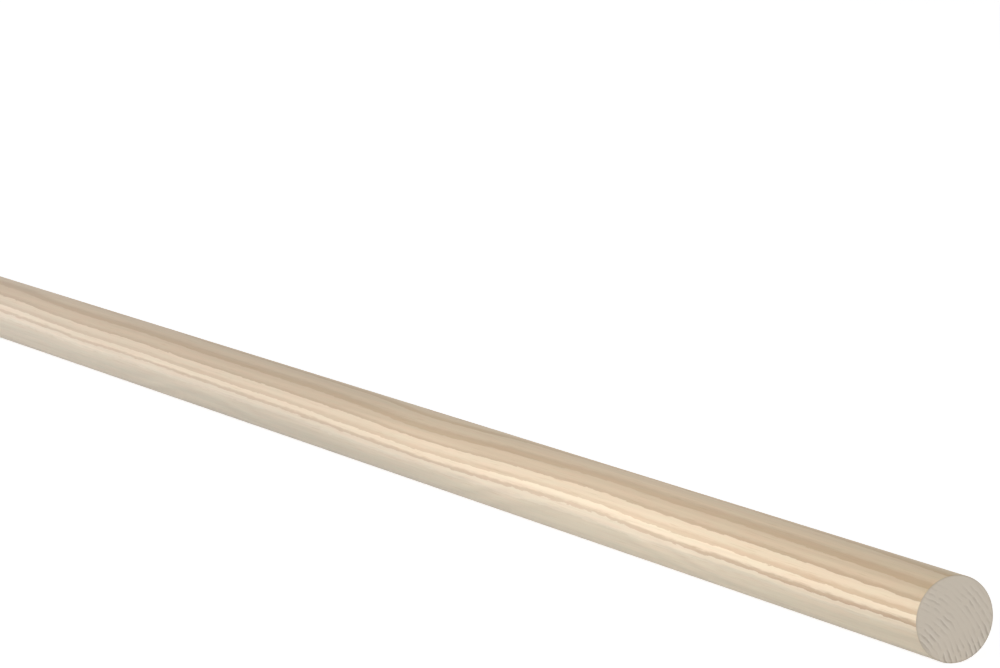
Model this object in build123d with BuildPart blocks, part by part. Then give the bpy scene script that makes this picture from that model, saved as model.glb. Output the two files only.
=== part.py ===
from build123d import *

import os

# A round wooden dowel rod: one straight piece of planed softwood, sawn square at both ends.
# The rod lies along X with its middle at the origin and Z up. All sizes are in millimetres.

# Driving dimensions
rod_diameter = 25.0  # planed size of the round section
rod_length = 1000.0  # from one sawn end to the other, the stock length it is sold in
edge_break = 0.2  # width of the small bevel that light sanding leaves round each sawn end

# The piece of wood: a round section across the grain, carried along the grain both ways from
# the middle, so that the two sawn ends are square to the rod's own axis.
with BuildPart() as dowel_rod:
    with BuildSketch(Plane.YZ):
        Circle(rod_diameter / 2)
    extrude(amount=rod_length / 2, both=True)

    # The two rims are the only edges that lie wholly at the ends of the rod.
    sawn_ends = dowel_rod.faces().filter_by(GeomType.PLANE)
    chamfer(sawn_ends.edges(), edge_break)

dowel_rod.part.label = "dowel_rod"

os.makedirs("parts", exist_ok=True)
export_step(dowel_rod.part, "parts/dowel_rod.step")
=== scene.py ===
# %% [markdown]
# # A planed pine dowel rod
#
# The object is one straight round stick of pine, planed smooth along the grain and sawn square
# at both ends. It has no other part, so all that it shows is its wood: growth rings cut
# lengthwise along the side, and the same wood cut across at the ends. The lesson builds the
# stick as one closed surface, works out where the rings run through it, and paints the wood
# from those rings.

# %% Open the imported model
from math import radians

import bpy
import numpy as np
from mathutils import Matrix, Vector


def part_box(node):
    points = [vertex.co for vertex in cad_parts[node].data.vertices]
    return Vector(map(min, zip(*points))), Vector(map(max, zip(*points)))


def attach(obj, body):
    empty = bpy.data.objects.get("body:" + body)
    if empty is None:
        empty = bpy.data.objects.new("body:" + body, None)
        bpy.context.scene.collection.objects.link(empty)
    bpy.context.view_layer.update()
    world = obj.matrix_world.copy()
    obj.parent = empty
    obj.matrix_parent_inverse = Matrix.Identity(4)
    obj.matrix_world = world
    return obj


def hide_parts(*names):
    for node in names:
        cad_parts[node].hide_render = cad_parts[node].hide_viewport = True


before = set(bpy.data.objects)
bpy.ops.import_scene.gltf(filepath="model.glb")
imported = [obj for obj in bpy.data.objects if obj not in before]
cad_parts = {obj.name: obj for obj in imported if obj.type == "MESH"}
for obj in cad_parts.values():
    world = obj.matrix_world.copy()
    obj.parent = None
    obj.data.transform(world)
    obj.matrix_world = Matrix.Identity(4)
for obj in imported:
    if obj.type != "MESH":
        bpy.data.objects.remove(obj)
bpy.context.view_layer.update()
low, high = (np.array(corner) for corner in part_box("dowel_rod"))
middle = (low + high) / 2
rod_length = high[0] - low[0]
rod_radius = (high[1] - low[1]) / 2
MM = 0.001
print(f"rod {rod_length / MM:.1f} mm long, {2 * rod_radius / MM:.2f} mm thick")

# %% [markdown]
# ## The camera
#
# The rod is seen from beyond its near end, a little above it and well to one side, so that it
# runs away to the left and shows one sawn end. A long lens from some way off keeps the taper of
# the far part gentle. The camera's place is worked out from the near end in rod radii, and its
# direction is a compass turn and a tilt.

# %% Camera
near_end = np.array([high[0], middle[1], middle[2]])
camera_from_near_end = np.array([87.69, -53.07, 19.49]) * rod_radius
turn, tilt = radians(64.48), radians(7.316)

camera_data = bpy.data.cameras.new("camera")
camera_data.lens = 167.78
camera_data.sensor_width = 36.0
camera_data.clip_end = 100.0
camera = bpy.data.objects.new("camera", camera_data)
camera.location = near_end + camera_from_near_end
camera.rotation_euler = (radians(90) - tilt, 0.0, turn)
bpy.context.scene.collection.objects.link(camera)
bpy.context.scene.camera = camera
print("camera at", [round(c, 3) for c in camera.location])

# %% [markdown]
# ## Where the growth rings run
#
# Each year a tree adds pale soft earlywood, which darkens into hard latewood and then stops
# short. A thin stick is a small piece of a wide trunk, so its rings are nearly flat sheets that
# lie across it. Where a sheet meets the round side it shows as a line along the stick, sharp on
# the bark side and soft on the other.
#
# A ring is found by a point's distance from the rod's axis along one direction, the one in which
# the tree grew, here down and towards the front. No tree is straight, so the sheets wander along
# the length, and that gives the lines their slow waves. Two of the lines are listed, the broad
# one on top and the narrow dark one at the front, and all the others keep their share of the
# distance between those two.

# %% Two growth lines along the rod
growth_angle = radians(135)  # turned from straight up towards the front, the -Y side
line_places_mm = np.array(
    [0, 60, 100, 160, 200, 240, 275, 305, 350, 385, 440, 500, 560, 610, 655, 700, 750, 860, 1000.0]
)
top_line_mm = np.array(
    [-0.5, -1.5, -1.9, -2.2, -2.6, -2.1, -1.4, -0.4, 0, -1.1, -1.9, -2.1, -2.4, -3, -2.6, -2.9]
    + [-4.4, -3.7, -4.8]
)
front_line_mm = np.array(
    [9.6, 9.6, 9.3, 9.1, 8.2, 8.4, 8.9, 9.1, 9.1, 8.9, 8.3, 8.1, 7.8, 7.6, 7.8, 7.3]
    + [6.8, 7.1, 6.6]
)


def smooth_through(places, values, x):
    """Cubic curve through the given points: between two of them it is the Hermite blend of their
    values and slopes, and the slope at each is taken from its two neighbours."""
    slopes = np.gradient(values, places)
    i = np.clip(np.searchsorted(places, x) - 1, 0, len(places) - 2)
    width = places[i + 1] - places[i]
    t = (x - places[i]) / width
    return (
        (1 + 2 * t) * (1 - t) ** 2 * values[i]
        + t * (1 - t) ** 2 * width * slopes[i]
        + t**2 * (3 - 2 * t) * values[i + 1]
        + t**2 * (t - 1) * width * slopes[i + 1]
    )


def between_lines(x, y, z):
    """0 on the sheet of the top line and 1 on that of the front line: a point's distance along
    the growth direction, less the top line's, over the distance between the two lines."""
    across_mm = (z * np.cos(growth_angle) - y * np.sin(growth_angle)) / MM
    from_near_end_mm = (high[0] - x) / MM
    top = smooth_through(line_places_mm, top_line_mm, from_near_end_mm)
    front = smooth_through(line_places_mm, front_line_mm, from_near_end_mm)
    return (across_mm - top) / (front - top)


# %% Rings
# Each ring has the share at which it ends on the bark side, its colour where it starts and where
# it ends, and a power, which above 1 keeps its dark wood narrow
rings = [
    (-1.42, "#DCC7A7", "#C8AB84", 1.0),
    (-1.08, "#E0CAA9", "#C8AB84", 1.0),
    (-0.64, "#E0CAA9", "#C6A87D", 1.0),
    (0.012, "#DEC8A9", "#B99D7B", 1.0),
    (0.43, "#D2BC9F", "#BFA587", 1.6),
    (0.772, "#E3CFB3", "#D0B697", 1.1),
    (1.005, "#EEDBC0", "#BCA287", 1.0),
    (1.16, "#E0D0B9", "#D0C3AE", 1.0),
    (1.27, "#CFC1AB", "#C7BAA4", 1.0),
    (1.38, "#CABEA9", "#C3B8A3", 1.0),
    (2.2, "#CABEA9", "#C3B8A3", 1.0),
]
FIRST_EDGE = -2.2  # outside the rod at the back, as the last ring's edge is at the front
ring_edges = np.array([FIRST_EDGE] + [ring[0] for ring in rings])

# Two edges also wander a little by themselves, each with its shifts at these places
wander_places_mm = [0, 130, 230, 330, 440, 560, 1000]
wanders = [
    (0.43, [0.005, -0.013, -0.009, -0.027, 0, 0.02, 0]),
    (0.772, [0.004, -0.003, -0.018, 0, 0.008, 0.003, 0]),
]
WANDER_REACH = 0.15

# The pale band past the front line is wider in one place
swell_places_mm = [0, 140, 210, 300]
swell_shifts = [-0.03, -0.03, 0.05, 0.01]
SWELL_FADE = 0.1


def ring_number(x, y, z):
    """Whole at each ring's edge and in even steps between two edges. A wandering edge takes the
    wood near it along, less with distance as a bell curve. Past the front line, at 1, the shift
    of all edges grows evenly to the full swell."""
    line = between_lines(x, y, z)
    place_mm = (high[0] - x) / MM
    for edge, shifts in wanders:
        shift = np.interp(place_mm, wander_places_mm, shifts)
        line = line - shift * np.exp(-(((line - edge) / WANDER_REACH) ** 2))
    swell = np.interp(place_mm, swell_places_mm, swell_shifts)
    line = line - swell * np.clip((line - 1) / SWELL_FADE, 0, 1)
    return np.interp(line, ring_edges, np.arange(len(ring_edges)))


print(len(rings), "rings, number at the near end's middle:", ring_number(*near_end))

# %% [markdown]
# ## The rod's surface
#
# A dowel is made by pushing a square stick through rotating cutters and sawing it to length.
# The sawn rim is rubbed lightly, so its edge is a bare fifth of a millimetre. A plain cylinder
# would do for the outline, but the real one has a skin: hard latewood stands a hair above the
# soft earlywood after planing, and on the ends the saw tore the soft wood between fine growth
# lines, which left them faintly ribbed in arcs. So the rod is one closed surface with two
# parameters, the place along a profile that runs from the middle of one end, over the rim, along
# the side and over the other rim, and the angle around the axis.

# %% Profile from the near end's middle to the far end's middle
AROUND = 240
SIDE_STEPS = 220
END_STEPS = 60
RIM_STEPS = 5
rim = 0.2 * MM

end_radii = (rod_radius - rim) * np.linspace(0, 1, END_STEPS + 1)[1:]
rim_turn = np.linspace(0, np.pi / 2, RIM_STEPS + 1)[1:]
rim_radii = rod_radius - rim + rim * np.sin(rim_turn)
rim_depths = rim - rim * np.cos(rim_turn)
side_places = np.linspace(rim, rod_length - rim, SIDE_STEPS + 1)[1:-1]

profile_radius = np.concatenate(
    [end_radii, rim_radii, np.full(len(side_places), rod_radius), rim_radii[::-1], end_radii[::-1]]
)
profile_depth = np.concatenate(
    [
        np.zeros(END_STEPS),
        rim_depths,
        side_places,
        rod_length - rim_depths[::-1],
        np.full(END_STEPS, rod_length),
    ]
)
angle = np.linspace(0, 2 * np.pi, AROUND, endpoint=False)
print(len(profile_radius), "rows of", AROUND, "points")

# %% Skin
LATEWOOD_RISE = 0.02 * MM
RING_FALL = 0.1  # share of the next ring over which the latewood's height is lost
SAW_RIB = 0.02 * MM
ARC_SPACING = 1.65 * MM
DEEPEST = 0.5  # the saw bit deepest midway between two arcs
arc_centre = np.array([-1.6, -1.4]) * rod_radius
# Patches of an end where the saw bit, each by its place, its reach in rod radii and its depth
bites = np.array(
    [
        (0.25, -0.88, 0.34, 1.0),
        (0.55, -0.72, 0.34, 1.0),
        (0.82, -0.4, 0.3, 0.9),
        (-0.2, -0.88, 0.28, 0.9),
        (-0.66, -0.38, 0.3, 0.9),
        (-0.25, -0.08, 0.24, 0.7),
        (0.42, 0.36, 0.34, 0.6),
        (-0.5, 0.45, 0.34, 0.45),
        (0.85, 0.1, 0.26, 0.45),
    ]
)


def latewood_rise(ring):
    """Rises as the fourth power of the way through the ring and falls over its first tenth."""
    way = ring % 1
    return LATEWOOD_RISE * np.maximum(way**4, 1 - way / RING_FALL)


def arc_number(y, z):
    """Distance from a point below and in front of the rod, in steps of the arcs' spacing."""
    return np.hypot(y - arc_centre[0], z - arc_centre[1]) / ARC_SPACING


def saw_bite(y, z):
    """The deepest of the patches here, each a bell curve of the distance from its middle."""
    away_y = (y[..., None] - middle[1]) / rod_radius - bites[:, 0]
    away_z = (z[..., None] - middle[2]) / rod_radius - bites[:, 1]
    return np.max(bites[:, 3] * np.exp(-(away_y**2 + away_z**2) / bites[:, 2] ** 2), axis=-1)


def rod_points():
    """Row by row: x runs from the near end along the profile, and the row is a circle of the
    profile's radius, with the angle counted from the top towards the front. The side sinks by
    what the latewood rises less than its full height, and an end by a cosine of the arcs times
    the saw's bite."""
    x = high[0] - profile_depth[:, None] + 0 * angle
    y = middle[1] - profile_radius[:, None] * np.sin(angle)
    z = middle[2] + profile_radius[:, None] * np.cos(angle)
    on_side = np.clip((profile_radius - rod_radius + rim) / rim, 0, 1)[:, None]
    sunk = on_side * (LATEWOOD_RISE - latewood_rise(ring_number(x, y, z)))
    y = y + sunk * np.sin(angle)
    z = z - sunk * np.cos(angle)
    wave = (1 + np.cos(2 * np.pi * (arc_number(y, z) - DEEPEST))) / 2
    ribbed = (1 - on_side) * SAW_RIB * saw_bite(y, z) * wave
    x = x + np.where(x > middle[0], -ribbed, ribbed)
    return x, y, z


x, y, z = rod_points()
print("side sinks by up to", LATEWOOD_RISE / MM, "mm")

# %% Closed mesh


def closed_mesh(name, x, y, z, first_pole, last_pole):
    """Joins each point to its neighbours in the row and in the next row by a four-sided face,
    and closes the first and last rows with a fan of triangles to a pole."""
    rows, columns = x.shape
    grid = 1 + np.arange(rows * columns).reshape(rows, columns)
    after = np.roll(grid, -1, axis=1)
    quads = np.stack([grid[:-1], grid[1:], after[1:], after[:-1]], -1).reshape(-1, 4)
    first = np.stack([grid[0], after[0], np.zeros(columns, int)], -1)
    last = np.stack([after[-1], grid[-1], np.full(columns, rows * columns + 1)], -1)
    points = np.vstack([first_pole, np.stack([x, y, z], -1).reshape(-1, 3), last_pole])
    mesh = bpy.data.meshes.new(name)
    mesh.from_pydata(points.tolist(), [], quads.tolist() + first.tolist() + last.tolist())
    mesh.shade_smooth()
    return mesh


poles = np.array([[high[0], middle[1], middle[2]], [low[0], middle[1], middle[2]]])
rod_mesh = closed_mesh("pine_dowel", x, y, z, poles[:1], poles[1:])
rod = bpy.data.objects.new("pine_dowel", rod_mesh)
bpy.context.scene.collection.objects.link(rod)
print(len(rod_mesh.polygons), "faces")

# %% [markdown]
# ## Numbers that the finish follows
#
# The shader could find the rings by itself, but they follow curves through given places, which
# are simpler to work out here. So each point keeps its ring number and a few more numbers, and
# the shader reads them. The points are a third of a millimetre apart round the rod and four and
# a half along it, close enough for lines that run nearly straight.

# %% Numbers that the finish follows


def keep(mesh, name, values, pole_values):
    """Stores one number for each point, with those of the two poles at the ends of the list."""
    held = mesh.attributes.new(name, "FLOAT", "POINT")
    everything = np.concatenate([[pole_values[0]], values.ravel(), [pole_values[1]]])
    held.data.foreach_set("value", everything.astype(np.float32))


keep(rod_mesh, "ring_number", ring_number(x, y, z), ring_number(*poles.T))
keep(rod_mesh, "arc_number", arc_number(y, z), arc_number(poles[:, 1], poles[:, 2]))
keep(rod_mesh, "saw_bite", saw_bite(y, z), saw_bite(poles[:, 1], poles[:, 2]))
inside_rim = (rod_radius - profile_radius)[:, None] / rim + 0 * angle
END_GRAIN_RISE = 1.2  # over 1, so that the sawn look is whole before the rim turns flat
keep(rod_mesh, "end_grain", np.clip(END_GRAIN_RISE * inside_rim, 0, 1), (1.0, 1.0))

# A ring's own width, so that the tear of its edge is the same few tenths of a millimetre in all.
# The poles lie on the ends, where the rings of the side do not show.
ring_middles = (ring_edges[1:] + ring_edges[:-1]) / 2
ring_widths = np.diff(ring_edges)
line_distance = (front_line_mm - top_line_mm).mean()
width_here = np.interp(between_lines(x, y, z), ring_middles, ring_widths) * line_distance
keep(rod_mesh, "rings_per_mm", 1 / width_here, (0.2, 0.2))

# A thin line of painted shade runs round the rim of each end: it fades in
# between the first two of these places and out between the last two
rim_shade_places = rod_radius - rim * np.array([2.4, 1.4, 0.1, 0.0])
painted_rim_shade = np.interp(profile_radius, rim_shade_places, [0, 1, 1, 0])
keep(rod_mesh, "painted_rim_shade", painted_rim_shade[:, None] + 0 * angle, (0.0, 0.0))

# The tone along a metre of stick is partly the wood's own and partly painted light, a highlight
# brightest about 190 mm from the near end, and its latewood is not equally dark
from_near_end_mm = (high[0] - x) / MM
tone_and_light_places_mm = np.array([0, 60, 190, 320, 470, 640, 800, 1000.0])
tone_and_light_at_places = np.array([0.945, 0.985, 1.06, 0.98, 0.93, 0.97, 1.0, 0.97])
tone_and_painted_light = smooth_through(tone_and_light_places_mm, tone_and_light_at_places, from_near_end_mm)
# Browner and, below nought, paler patches, each by its place in mm, its place between the lines,
# its reach both ways and its depth. They too are partly the wood's own and partly painted light:
# just above the front line they are paler near the near end and darker far off, a painted
# highlight that fades along the stick
tone_and_light_patches = [
    (0, -0.5, 40, 0.22, 0.06),
    (350, -0.4, 100, 0.24, 0.06),
    (430, 1.35, 90, 0.15, 0.03),
    (500, 1.16, 110, 0.05, 0.035),
    (730, 0.7, 240, 0.3, 0.15),
    (0, -0.95, 80, 0.2, 0.08),
    (0, 1.04, 60, 0.06, 0.055),
    (60, 0.59, 110, 0.16, -0.06),
    (40, 0.26, 50, 0.09, -0.07),
    (330, 0.3, 50, 0.35, -0.065),
    (180, 0.72, 110, 0.07, -0.035),
    (720, 1.16, 260, 0.14, -0.08),
]
for place, line, reach_mm, reach, depth in tone_and_light_patches:
    away = ((from_near_end_mm - place) / reach_mm) ** 2
    away = away + ((between_lines(x, y, z) - line) / reach) ** 2
    tone_and_painted_light = tone_and_painted_light * (1 - depth * np.exp(-away))
keep(rod_mesh, "tone_and_painted_light", tone_and_painted_light, (1.0, 1.0))
keep(rod_mesh, "far_share", from_near_end_mm * MM / rod_length, (0.0, 1.0))

# How dark the latewood gets, on the fine lines in front and on the broad ones over the top
fine_places_mm = [0, 60, 140, 210, 280, 600, 1000]
fine_depths = [1.05, 1, 0.78, 0.6, 0.74, 0.62, 0.68]
broad_places_mm = [0, 100, 300, 1000]
broad_depths = [0.85, 0.74, 0.78, 0.78]
FINE_FROM = 0.18  # place between the lines where the fine ones start
late_depth = np.where(
    between_lines(x, y, z) > FINE_FROM,
    np.interp(from_near_end_mm, fine_places_mm, fine_depths),
    np.interp(from_near_end_mm, broad_places_mm, broad_depths),
)
keep(rod_mesh, "late_depth", late_depth, (1.0, 1.0))
print("tone from", tone_and_painted_light.min().round(3), "to", tone_and_painted_light.max().round(3))

# %% [markdown]
# ## Arches below the front line
#
# Low on the front the sheets run almost level with the round side and cut it at a glancing
# angle. There a small wave along the stick draws a tall arch, the figure that joiners call
# cathedral grain. An arch is followed by the angle down from the top plus the climb of the
# sheets, in degrees, which is large where an arch has its peak.

# %% Arches
climb_places_mm = np.array(
    [0, 75, 125, 160, 212, 262, 306, 330, 400, 450, 475, 525, 560, 600, 700, 880, 1000.0]
)
climb_degrees = np.array([0, 9, 25, 56, 78, 54, 16, 6, 0, 3, 14, 38, 30, 6, 0, 34, 0.0])
# All of these are degrees, counted down from the top towards the front
FIRST_ARCH, ARCH_RANGE = 95, 110
UNDERSIDE, TURN_BACK = 150, 6  # the arches turn back at the underside, over this much
ARCHES_START, START_FADE = 92, 5
ARCHES_END, END_FADE = 178, 8
down = np.degrees(angle)
below = UNDERSIDE - np.hypot(down - UNDERSIDE, TURN_BACK)
climb = smooth_through(climb_places_mm, climb_degrees, from_near_end_mm)
keep(rod_mesh, "arch_place", (below + climb - FIRST_ARCH) / ARCH_RANGE, (0.0, 0.0))
starting = np.clip((down - ARCHES_START) / START_FADE, 0, 1)
ending = np.clip((ARCHES_END - down) / END_FADE, 0, 1)
keep(rod_mesh, "arch_share", starting * ending + 0 * x, (0.0, 0.0))
print("arches climb up to", climb.max().round(1), "degrees")

# %% [markdown]
# ## Flat map of the rod
#
# When the finish is painted onto a picture for use elsewhere, a metre of rod 25 mm thick has to
# fit on a square. Its side is cut into two half-length strips that fill the width, one above
# the other, and the two round ends lie below them.

# %% Flat map
# Shares of the square's side, but for the seam
SEAM = 130  # the column where the side is cut open, low at the back
STRIP_START, STRIP_LENGTH = 0.012, 0.976
UPPER_STRIP, LOWER_STRIP, STRIP_HEIGHT = 0.655, 0.31, 0.33
DISC_RADIUS = 0.138
near_centre, far_centre = (0.155, 0.15), (0.47, 0.15)
last_near = END_STEPS + RIM_STEPS - 1
middle_row = last_near + SIDE_STEPS // 2
first_far = last_near + SIDE_STEPS
steps = np.hypot(np.diff(profile_radius), np.diff(profile_depth))
walked = profile_radius[0] + np.concatenate([[0], np.cumsum(steps)])
from_pole = np.minimum(walked, walked[-1] + profile_radius[-1] - walked)


def on_strip(row, past_seam, start, bottom):
    """Across by the place along the rod, and up by the share of the turn past the seam."""
    along = STRIP_START + STRIP_LENGTH * (profile_depth[row] - start) / (rod_length / 2 - rim)
    return np.stack([along, bottom + STRIP_HEIGHT * past_seam / AROUND], -1)


def on_disc(row, column, centre, side):
    """Round the centre by the angle, as far out as the walk from the pole over the surface. The
    side is -1 for the near end and 1 for the far one, which are seen from opposite sides."""
    turned = 2 * np.pi * column / AROUND
    out = DISC_RADIUS * from_pole[row] / from_pole[last_near]
    return np.stack([centre[0] + side * out * np.sin(turned), centre[1] + out * np.cos(turned)], -1)


corner_row, corner_column = np.array([0, 1, 1, 0]), np.array([0, 0, 1, 1])
face_row, face_column = np.indices((len(profile_radius) - 1, AROUND))[..., None]
row, column = face_row + corner_row, face_column + corner_column
past_seam = (face_column - SEAM) % AROUND + corner_column
near, far = slice(0, last_near), slice(first_far, None)
first_half, second_half = slice(last_near, middle_row), slice(middle_row, first_far)
first_row = np.zeros((AROUND, 3), int)
last_row = np.full((AROUND, 3), len(profile_radius) - 1)
first_fan = on_disc(first_row, face_column[0] + [0, 1, 0], near_centre, -1)
last_fan = on_disc(last_row, face_column[0] + [1, 0, 0], far_centre, 1)
first_fan[:, 2], last_fan[:, 2] = near_centre, far_centre
flat = [
    on_disc(row[near], column[near], near_centre, -1),
    on_strip(row[first_half], past_seam[first_half], rim, UPPER_STRIP),
    on_strip(row[second_half], past_seam[second_half], rod_length / 2, LOWER_STRIP),
    on_disc(row[far], column[far], far_centre, 1),
    first_fan,
    last_fan,
]
flat_places = np.concatenate([part.reshape(-1, 2) for part in flat])
flat_map = rod_mesh.uv_layers.new(name="OFBake")
flat_map.data.foreach_set("uv", flat_places.ravel().astype(np.float32))
print("flat map from", flat_places.min(axis=0), "to", flat_places.max(axis=0))

# %% [markdown]
# ## Pine
#
# Planed pine, unsealed: cellulose fibres with an index near 1.5 and no film on them, so it is
# mostly matt with a faint silky shine. A picture of a board could be wrapped round the rod, but
# its lines would not follow these rings. So the colour comes from the ring number: the way
# through a ring turns its early colour into its late one. Noise drawn out along the grain tears
# the ring edges, streaks the fibres and scatters the short dark dashes of resin canals. The
# arches and the slow change of tone along the stick, which is partly painted light, then multiply
# that colour.

# %% Helpers for materials


def linear(code):
    """An sRGB hex colour as linear red, green, blue and alpha."""
    s = np.array([int(code[i : i + 2], 16) for i in (1, 3, 5)]) / 255
    lit = np.where(s <= 0.04045, s / 12.92, ((s + 0.055) / 1.055) ** 2.4)
    return (*lit.tolist(), 1.0)


def add_node(tree, kind, inputs=None, stops=None, curve=None, **settings):
    """Adds one node, sets its properties, sets or links its inputs by name or number, and fills
    its colour stops or its curve's points."""
    node = tree.nodes.new(kind)
    for name, value in settings.items():
        setattr(node, name, value)
    for name, value in (inputs or {}).items():
        if isinstance(value, bpy.types.NodeSocket):
            tree.links.new(value, node.inputs[name])
        else:
            node.inputs[name].default_value = value
    for i, (place, colour) in enumerate(stops or []):
        elements = node.color_ramp.elements
        element = elements[i] if i < len(elements) else elements.new(place)
        element.position, element.color = place, colour
    for i, (place, height) in enumerate(curve or []):
        points = node.mapping.curves[0].points
        point = points[i] if i < len(points) else points.new(place, height)
        point.location = (place, height)
    return node


def streaks(tree, length_mm, width_mm, detail, shift):
    """Noise from 0 to 1 drawn out along the grain, in spots of about this length and width. The
    detail adds finer noise, and the shift keeps one pattern from repeating another."""
    place = add_node(tree, "ShaderNodeTexCoord").outputs["Object"]
    size = (1 / (length_mm * MM), 1 / (width_mm * MM), 1 / (width_mm * MM))
    inputs = {"Vector": place, "Scale": size, "Location": (shift, shift, shift)}
    drawn_out = add_node(tree, "ShaderNodeMapping", inputs).outputs[0]
    inputs = {"Vector": drawn_out, "Scale": 1.0, "Detail": detail, "Roughness": 0.55}
    return add_node(tree, "ShaderNodeTexNoise", inputs).outputs["Fac"]


print("half of full sRGB red, made linear:", round(linear("#800000")[0], 4))

# %% Rings on the side
pine = bpy.data.materials.new("planed_scots_pine")
pine.use_nodes = True
tree = pine.node_tree
shader = tree.nodes["Principled BSDF"]
shader.inputs["IOR"].default_value = 1.5
shader.inputs["Specular IOR Level"].default_value = 0.5

ring_share = add_node(tree, "ShaderNodeAttribute", attribute_name="ring_number").outputs["Fac"]
per_mm = add_node(tree, "ShaderNodeAttribute", attribute_name="rings_per_mm").outputs["Fac"]
# The edges are torn finely and, over longer stretches, broadly, each by the length and width of
# its spots and by how far it moves the edge
tears_mm = [(6.0, 0.7, 1.0), (40.0, 2.5, 0.6)]
for length_mm, width_mm, tear_mm in tears_mm:
    noise = streaks(tree, length_mm, width_mm, 3.0, length_mm)
    inputs = {0: noise, 1: tear_mm, 2: -tear_mm / 2}
    torn_mm = add_node(tree, "ShaderNodeMath", inputs, operation="MULTIPLY_ADD").outputs[0]
    inputs = {0: torn_mm, 1: per_mm, 2: ring_share}
    ring_share = add_node(tree, "ShaderNodeMath", inputs, operation="MULTIPLY_ADD").outputs[0]

# The fraction is the way through the ring, and the whole number picks its two colours and power
way = add_node(tree, "ShaderNodeMath", {0: ring_share}, operation="FRACT").outputs[0]
whole = add_node(tree, "ShaderNodeMath", {0: ring_share}, operation="FLOOR").outputs[0]
inputs = {0: whole, 1: 1 / len(rings), 2: 0.5 / len(rings)}
which = add_node(tree, "ShaderNodeMath", inputs, operation="MULTIPLY_ADD").outputs[0]

early_stops = [(i / len(rings), linear(ring[1])) for i, ring in enumerate(rings)]
late_stops = [(i / len(rings), linear(ring[2])) for i, ring in enumerate(rings)]
early = add_node(tree, "ShaderNodeValToRGB", {0: which}, early_stops)
late = add_node(tree, "ShaderNodeValToRGB", {0: which}, late_stops)
power_stops = [(i / len(rings), (ring[3], ring[3], ring[3], 1)) for i, ring in enumerate(rings)]
power = add_node(tree, "ShaderNodeValToRGB", {0: which}, power_stops)
for ramp in (early, late, power):
    ramp.color_ramp.interpolation = "CONSTANT"
inputs = {0: way, 1: power.outputs[0]}
way = add_node(tree, "ShaderNodeMath", inputs, operation="POWER").outputs[0]

# Share of the late colour along the way: the dark edge before bleeds in for a hair, then the
# wood stays pale for a third of the ring and darkens smoothly towards its end
late_share = [(0, 0.45), (0.035, 0), (0.35, 0.03), (0.5, 0.14), (0.63, 0.48), (0.78, 0.93), (1, 1)]
darkening = add_node(tree, "ShaderNodeFloatCurve", {"Value": way}, curve=late_share).outputs[0]
late_depth = add_node(tree, "ShaderNodeAttribute", attribute_name="late_depth").outputs["Fac"]
inputs = {0: darkening, 1: late_depth}
darkness = add_node(tree, "ShaderNodeMath", inputs, operation="MULTIPLY").outputs[0]
# A mix of colours has its share at input 0 and the two colours at 6 and 7
inputs = {0: darkness, 6: early.outputs[0], 7: late.outputs[0]}
side = add_node(tree, "ShaderNodeMix", inputs, data_type="RGBA").outputs[2]
print(len(rings), "rings in", len(tree.nodes), "nodes")

# %% Fibres and resin canals
# Three tints, each by the length and width of its spots in mm and by its colours: the fibres, a
# faint turn between red and green, and the dark dashes of resin canals, 0.3 mm wide
tints = [
    (90.0, 0.9, [(0.3, (0.96, 0.955, 0.945, 1)), (0.7, (1.03, 1.03, 1.03, 1))]),
    (18.0, 1.6, [(0.35, (1.01, 0.985, 0.975, 1)), (0.65, (0.985, 1.005, 0.995, 1))]),
    (14.0, 0.3, [(0.6, (1, 1, 1, 1)), (0.74, (0.9, 0.86, 0.8, 1))]),
]
for length_mm, width_mm, stops in tints:
    noise = streaks(tree, length_mm, width_mm, 2.0, 2 * length_mm)
    tint = add_node(tree, "ShaderNodeValToRGB", {0: noise}, stops).outputs[0]
    inputs = {0: 1.0, 6: side, 7: tint}
    tinted = add_node(tree, "ShaderNodeMix", inputs, data_type="RGBA", blend_type="MULTIPLY")
    side = tinted.outputs[2]

arch_place = add_node(tree, "ShaderNodeAttribute", attribute_name="arch_place").outputs["Fac"]
arch_share = add_node(tree, "ShaderNodeAttribute", attribute_name="arch_share").outputs["Fac"]
ARCH_TEAR = 0.1
inputs = {0: streaks(tree, 30.0, 1.2, 2.0, 43.0), 1: ARCH_TEAR, 2: arch_place}
torn_arch = add_node(tree, "ShaderNodeMath", inputs, operation="MULTIPLY_ADD").outputs[0]
# Greys that multiply the wood, from the first arch down to the last
arch_tones = [(0.05, 1), (0.19, 1.01), (0.28, 0.97), (0.41, 1.05), (0.52, 0.95), (0.65, 1.05)]
arch_tones += [(0.78, 0.94), (0.9, 1)]
stops = [(at, (grey, grey, grey, 1)) for at, grey in arch_tones]
arches = add_node(tree, "ShaderNodeValToRGB", {0: torn_arch}, stops).outputs[0]
inputs = {0: arch_share, 6: side, 7: arches}
side = add_node(tree, "ShaderNodeMix", inputs, data_type="RGBA", blend_type="MULTIPLY").outputs[2]

# Tone along the stick, partly the wood's own and partly painted light: a highlight that fades
# towards the far end
tone_and_painted_light = add_node(tree, "ShaderNodeAttribute", attribute_name="tone_and_painted_light").outputs["Fac"]
inputs = {0: 1.0, 6: side, 7: tone_and_painted_light}
side = add_node(tree, "ShaderNodeMix", inputs, data_type="RGBA", blend_type="MULTIPLY").outputs[2]

# The colour turns a little cooler towards the far end
far_tint = (0.99, 1.0, 1.08, 1.0)
far_share = add_node(tree, "ShaderNodeAttribute", attribute_name="far_share").outputs["Fac"]
inputs = {0: far_share, 6: side, 7: far_tint}
side = add_node(tree, "ShaderNodeMix", inputs, data_type="RGBA", blend_type="MULTIPLY").outputs[2]
print("with its fibres and arches the pine has", len(tree.nodes), "nodes")
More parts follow.
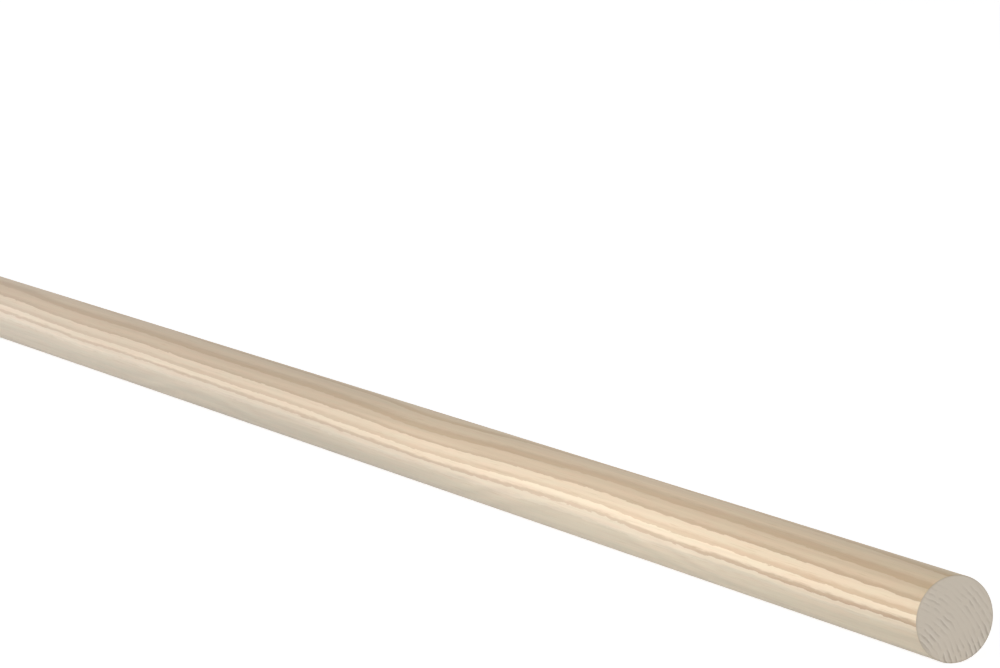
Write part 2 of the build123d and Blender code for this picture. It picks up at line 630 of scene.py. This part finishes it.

# %% [markdown]
# ## Sawn ends
#
# Cut across, the open fibres swallow light, so an end is greyer and duller than the side. Where
# the saw tore the soft wood, short dark hooks lie in patches along the fine arcs. They are only
# hundredths of a millimetre deep: the mesh has those ribs, and the colour adds the shade that
# sits in them. Round the edge runs a thin line of painted shade.

# %% Sawn ends
arc = add_node(tree, "ShaderNodeAttribute", attribute_name="arc_number").outputs["Fac"]
bite_here = add_node(tree, "ShaderNodeAttribute", attribute_name="saw_bite").outputs["Fac"]
noise = streaks(tree, 6.0, 3.5, 2.0, 5.0)
ARC_TEAR = 0.8  # in steps of the arcs' spacing
inputs = {0: noise, 1: ARC_TEAR, 2: arc}
torn_arc = add_node(tree, "ShaderNodeMath", inputs, operation="MULTIPLY_ADD").outputs[0]
arc_way = add_node(tree, "ShaderNodeMath", {0: torn_arc}, operation="FRACT").outputs[0]
# Share of the pale colour from one arc to the next: shade lies in the bottom of a rib, and the
# flank past it catches the light
rib = [(0, 0.62), (0.2, 0.55), (0.38, 0.05), (0.54, 0), (0.72, 0.85), (0.86, 0.7), (1, 0.62)]
ribbing = add_node(tree, "ShaderNodeFloatCurve", {"Value": arc_way}, curve=rib).outputs[0]
hook_stops = [(0.34, (0, 0, 0, 1)), (0.52, (1, 1, 1, 1))]
noise = streaks(tree, 6.0, 2.2, 1.0, 17.0)
hooks = add_node(tree, "ShaderNodeValToRGB", {0: noise}, hook_stops).outputs[0]
inputs = {0: hooks, 1: bite_here}
strength = add_node(tree, "ShaderNodeMath", inputs, operation="MULTIPLY").outputs[0]
shade, catch_light, open_grain = linear("#B7AA9A"), linear("#E8DFD2"), linear("#D7CCBC")
inputs = {0: ribbing, 6: shade, 7: catch_light}
ribbed_colour = add_node(tree, "ShaderNodeMix", inputs, data_type="RGBA").outputs[2]
inputs = {0: strength, 6: open_grain, 7: ribbed_colour}
sawn = add_node(tree, "ShaderNodeMix", inputs, data_type="RGBA").outputs[2]

end_grain = add_node(tree, "ShaderNodeAttribute", attribute_name="end_grain").outputs["Fac"]
inputs = {0: end_grain, 6: side, 7: sawn}
wood = add_node(tree, "ShaderNodeMix", inputs, data_type="RGBA").outputs[2]
# Painted shade: a thin darker line round the rim of each end
rim_shade_tint = (0.84, 0.825, 0.8, 1.0)
painted_rim_shade = add_node(tree, "ShaderNodeAttribute", attribute_name="painted_rim_shade").outputs["Fac"]
inputs = {0: painted_rim_shade, 6: wood, 7: rim_shade_tint}
wood = add_node(tree, "ShaderNodeMix", inputs, data_type="RGBA", blend_type="MULTIPLY").outputs[2]
tree.links.new(wood, shader.inputs["Base Color"])
print("with its sawn ends the pine has", len(tree.nodes), "nodes")

# %% [markdown]
# ## Sheen and fibre relief
#
# The hard dark wood comes smoother from the planing cutters than the soft pale wood, so it
# shines a little more. Along the side run the cut fibres, which break up every reflection into
# a silky one. A mesh fine enough for them would be vast, so they are the one thing that is
# only a bump.

# %% Sheen and fibre relief
# Bare planed wood is about half rough, and the torn fibres of an end are duller still
EARLYWOOD_ROUGHNESS, LATEWOOD_ROUGHNESS, SAWN_ROUGHNESS = 0.53, 0.46, 0.62
inputs = {"Value": darkness, "To Min": EARLYWOOD_ROUGHNESS, "To Max": LATEWOOD_ROUGHNESS}
side_roughness = add_node(tree, "ShaderNodeMapRange", inputs).outputs["Result"]
inputs = {0: end_grain, 2: side_roughness, 3: SAWN_ROUGHNESS}
roughness = add_node(tree, "ShaderNodeMix", inputs, data_type="FLOAT").outputs[0]
tree.links.new(roughness, shader.inputs["Roughness"])
# Cut fibres are about 0.03 mm wide, drawn here as ridges ten times as wide so that they show
inputs = {"Height": streaks(tree, 60.0, 0.35, 2.0, 31.0), "Strength": 0.35, "Distance": 0.04 * MM}
relief = add_node(tree, "ShaderNodeBump", inputs).outputs["Normal"]
tree.links.new(relief, shader.inputs["Normal"])
rod_mesh.materials.append(pine)

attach(rod, "root")
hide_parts("dowel_rod")
print("finished pine:", len(tree.nodes), "nodes and", len(tree.links), "links")

# %% [markdown]
# ## Floor and light
#
# The rod lies on a plain white sheet. To the eye the sheet is pure white and fades into a white
# room, and it keeps a faint shadow under the rod. To the light it is only white paper: the extra
# whiteness is seen by camera, mirror and glass rays alone, so it puts no light on the wood.
#
# The room itself glows softly, more from the walls than from the ceiling, and four soft boxes
# shape the round of the stick: a broad key in front, and weak ones for the two ends and the back.
# One lamp overhead would do, but it would leave the front dark and the rings flat.

# %% White sheet
REACH = 30.0  # metres each way, so that its edge is past anything the camera sees
sheet_mesh = bpy.data.meshes.new("white_sheet")
corners = [(-REACH, -REACH), (REACH, -REACH), (REACH, REACH), (-REACH, REACH)]
sheet_mesh.from_pydata([(*corner, low[2]) for corner in corners], [], [(0, 1, 2, 3)])
white_sheet = bpy.data.objects.new("white_sheet", sheet_mesh)
bpy.context.scene.collection.objects.link(white_sheet)


def seen_directly(tree):
    """1 for camera, mirror and glass rays, and 0 for the rays that carry light to the wood."""
    ray = add_node(tree, "ShaderNodeLightPath").outputs
    mirrored = {0: ray["Is Camera Ray"], 1: ray["Is Glossy Ray"]}
    either = add_node(tree, "ShaderNodeMath", mirrored, operation="MAXIMUM").outputs[0]
    passed = {0: either, 1: ray["Is Transmission Ray"]}
    return add_node(tree, "ShaderNodeMath", passed, operation="MAXIMUM").outputs[0]


paper = bpy.data.materials.new("white_paper")
paper.use_nodes = True
tree = paper.node_tree
tree.nodes.remove(tree.nodes["Principled BSDF"])
PAPER, SHADOWED, WHITENESS = 0.9, 0.4, 0.84
lit_paper = add_node(tree, "ShaderNodeBsdfDiffuse", {"Color": (PAPER,) * 3 + (1.0,)})
faint_shade = add_node(tree, "ShaderNodeBsdfDiffuse", {"Color": (SHADOWED,) * 3 + (1.0,)})
whiteness = add_node(tree, "ShaderNodeEmission", {"Color": (1, 1, 1, 1), "Strength": WHITENESS})
bright = add_node(tree, "ShaderNodeAddShader", {0: faint_shade.outputs[0], 1: whiteness.outputs[0]})
shown = {0: seen_directly(tree), 1: lit_paper.outputs[0], 2: bright.outputs[0]}
mixed = add_node(tree, "ShaderNodeMixShader", shown)
tree.links.new(mixed.outputs[0], tree.nodes["Material Output"].inputs["Surface"])
sheet_mesh.materials.append(paper)
print("white sheet", 2 * REACH, "m wide, at height", round(float(low[2]), 5), "m")

# %% White room
room = bpy.data.worlds.new("white_room")
bpy.context.scene.world = room
room.use_nodes = True
tree = room.node_tree
tree.nodes.remove(tree.nodes["Background"])
direction = add_node(tree, "ShaderNodeTexCoord").outputs["Generated"]
height = add_node(tree, "ShaderNodeSeparateXYZ", {0: direction}).outputs["Z"]
ZENITH, HORIZON = 0.25, 0.6
upward = {"Value": height, "From Min": 0.0, "From Max": 1.0, "To Min": HORIZON, "To Max": ZENITH}
strength = add_node(tree, "ShaderNodeMapRange", upward).outputs["Result"]
lighting = add_node(tree, "ShaderNodeBackground", {"Color": (1, 1, 1, 1), "Strength": strength})
backdrop = add_node(tree, "ShaderNodeBackground", {"Color": (1, 1, 1, 1), "Strength": 1.0})
shown = {0: seen_directly(tree), 1: lighting.outputs[0], 2: backdrop.outputs[0]}
mixed = add_node(tree, "ShaderNodeMixShader", shown)
tree.links.new(mixed.outputs[0], tree.nodes["World Output"].inputs["Surface"])
print("the room glows", HORIZON, "at the horizon and", ZENITH, "overhead")

# %% Soft boxes
# Each with its place, the way it faces as a tilt and a turn, its size in metres and its power:
# the key at the front, a small one past the near end, and two low ones that the camera side
# hardly sees, for the back and for the far end
soft_boxes = {
    "key": ((0.2, -1.9, 0.5), (77, 5), (2.4, 1.2), 29.5),
    "near_end_fill": ((2.6, -0.5, 0.5), (80, 79), (1.0, 1.0), 9.5),
    "back_fill": ((0.0, 2.0, 0.2), (84, 180), (2.4, 0.3), 15.0),
    "far_end_fill": ((-2.8, 0.15, 0.17), (87, -93), (1.0, 0.25), 9.0),
}
for name, (place, (tilt, turn), size, watts) in soft_boxes.items():
    light = bpy.data.lights.new(name, "AREA")
    light.shape = "RECTANGLE"
    light.size, light.size_y = size
    light.energy = watts
    lamp = bpy.data.objects.new(name, light)
    lamp.location = place
    lamp.rotation_euler = (radians(tilt), 0.0, radians(turn))
    bpy.context.scene.collection.objects.link(lamp)
    print(name, watts, "W")

bpy.context.scene.view_settings.view_transform = "Standard"
